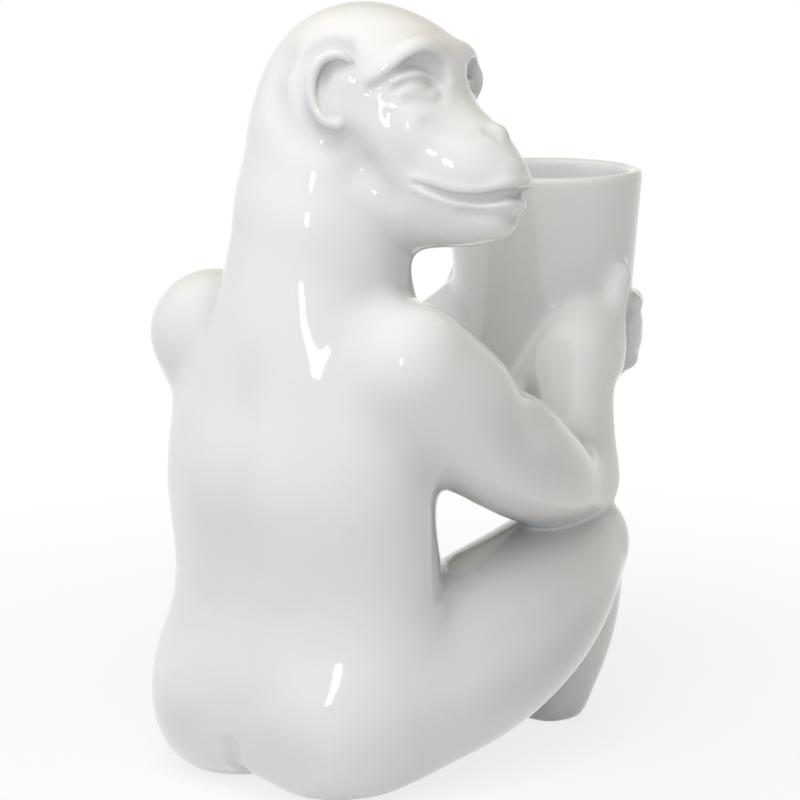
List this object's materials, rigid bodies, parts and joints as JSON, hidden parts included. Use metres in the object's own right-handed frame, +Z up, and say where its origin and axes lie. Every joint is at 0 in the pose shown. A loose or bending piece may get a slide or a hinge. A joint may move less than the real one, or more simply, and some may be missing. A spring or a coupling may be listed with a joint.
{
  "type": "candle holder",
  "caption": "Seated glazed ceramic chimpanzee with its head turned aside and its elbows on its knees, holding a deep round cup for a pillar candle in its hands.",
  "frame": {"origin": "on the surface that the figure stands on, under the middle of its box", "axes": "+Z up; the figure's body faces -Y and its right side is at -X"},
  "size_m": [0.172, 0.254, 0.3084],
  "materials": {
    "glaze": "gloss",
    "felt": "matte"
  },
  "bodies": {
    "root": {"torso": "glaze", "head": "glaze", "cup": "glaze", "right_ear": "glaze", "right_thigh": "glaze", "right_lower_leg": "glaze", "right_upper_arm": "glaze", "right_forearm": "glaze", "right_hand": "glaze", "right_seat_pad": "felt", "right_foot_pad": "felt", "left_ear": "glaze", "left_thigh": "glaze", "left_lower_leg": "glaze", "left_upper_arm": "glaze", "left_forearm": "glaze", "left_hand": "glaze", "left_seat_pad": "felt", "left_foot_pad": "felt"}
  },
  "joints": []
}
